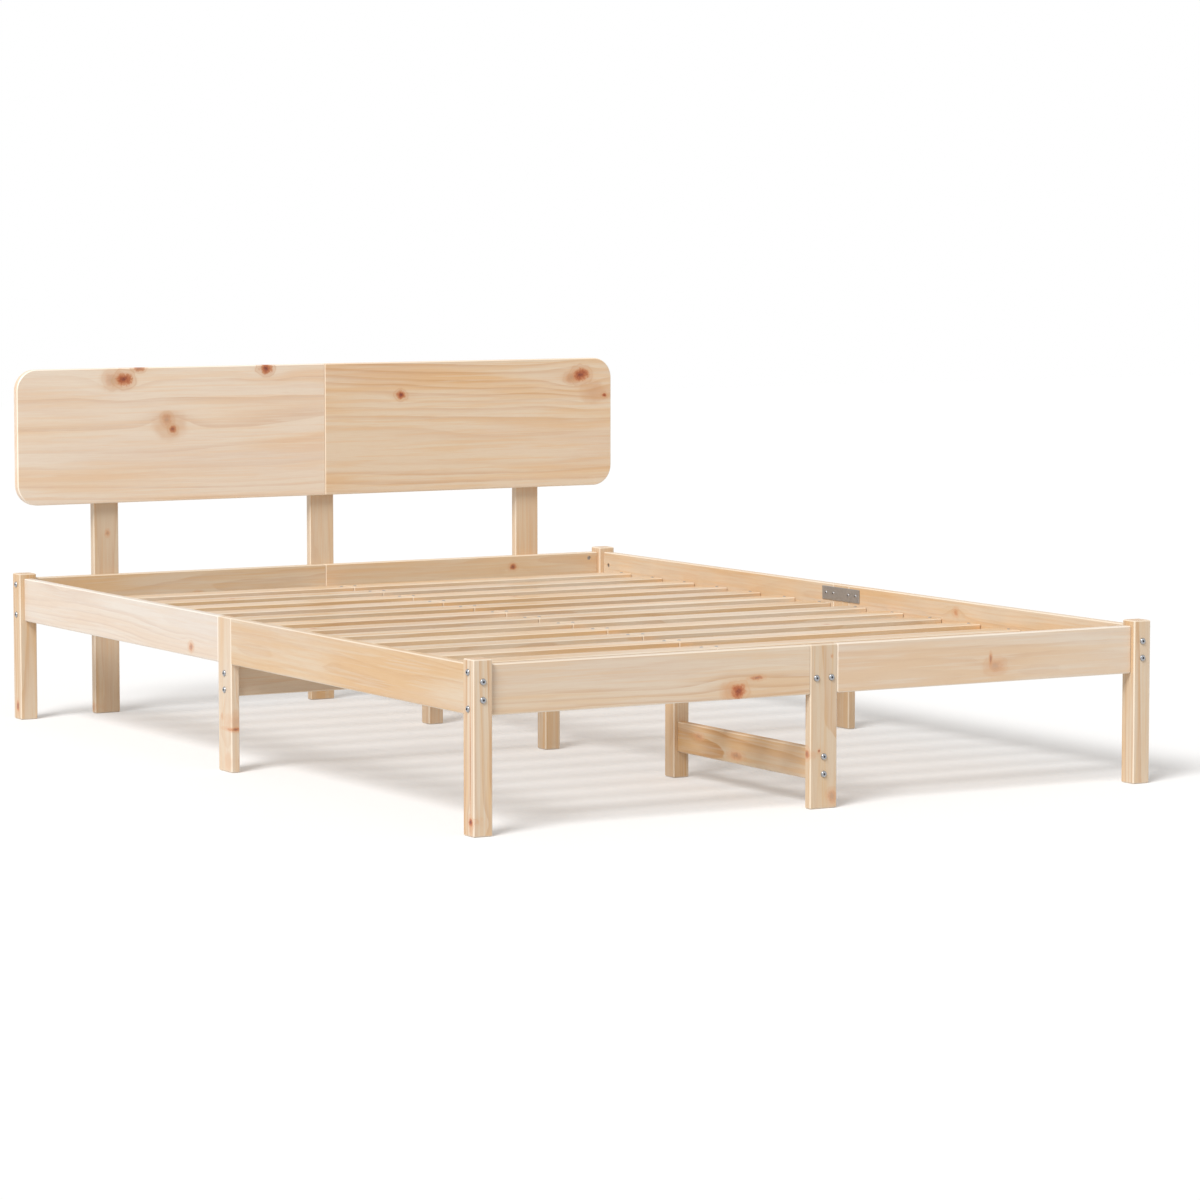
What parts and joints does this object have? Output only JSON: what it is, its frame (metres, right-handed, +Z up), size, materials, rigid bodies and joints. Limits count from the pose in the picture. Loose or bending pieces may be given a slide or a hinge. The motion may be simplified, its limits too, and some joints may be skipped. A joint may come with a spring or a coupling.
{
  "type": "bed frame",
  "caption": "Low pine double bed frame: bolted legs and split rails, slats on ledgers and a centre beam, and a two-panel headboard on floor-standing posts.",
  "frame": {"origin": "on the floor under the middle of the frame, at the foot of the middle centre post", "axes": "+Z up, +Y from the foot to the headboard, +X across the bed to the right as seen from the foot"},
  "size_m": [1.4614, 2.0694, 0.741],
  "materials": {
    "pine": "clear satin lacquer on planed pine",
    "pine_panel": "clear satin lacquer on an edge-glued pine panel",
    "pine_slat": "planed bare pine",
    "beech": "turned bare beech",
    "steel": "bright zinc plate"
  },
  "bodies": {
    "root": {"barrel_nuts": "steel", "bolts_long": "steel", "bolts_short": "steel", "centre_beam_foot": "pine", "centre_beam_head": "pine", "centre_post_foot": "pine", "centre_post_head": "pine", "centre_post_middle": "pine", "cross_beam_dowels": "beech", "cross_beam_left": "pine", "cross_beam_right": "pine", "foot_brace": "pine", "foot_rail_left": "pine", "foot_rail_right": "pine", "head_rail_left": "pine", "head_rail_right": "pine", "headboard_panel_left": "pine_panel", "headboard_panel_right": "pine_panel", "headboard_post_centre": "pine", "headboard_post_left": "pine", "headboard_post_right": "pine", "joining_plates": "steel", "ledger_left_front": "pine_slat", "ledger_left_rear": "pine_slat", "ledger_right_front": "pine_slat", "ledger_right_rear": "pine_slat", "leg_board_foot": "pine", "leg_board_left": "pine", "leg_board_right": "pine", "leg_front_left": "pine", "leg_front_right": "pine", "leg_rear_left": "pine", "leg_rear_right": "pine", "post_dowels": "beech", "rail_dowels": "beech", "side_rail_left_front": "pine", "side_rail_left_rear": "pine", "side_rail_right_front": "pine", "side_rail_right_rear": "pine", "slat_row_01": "pine_slat", "slat_row_02": "pine_slat", "slat_row_03": "pine_slat", "slat_row_04": "pine_slat", "slat_row_05": "pine_slat", "slat_row_06": "pine_slat", "slat_row_07": "pine_slat", "slat_row_08": "pine_slat", "slat_row_09": "pine_slat", "slat_row_10": "pine_slat", "slat_row_11": "pine_slat", "slat_row_12": "pine_slat", "slat_row_13": "pine_slat", "slat_row_14": "pine_slat"}
  },
  "joints": []
}
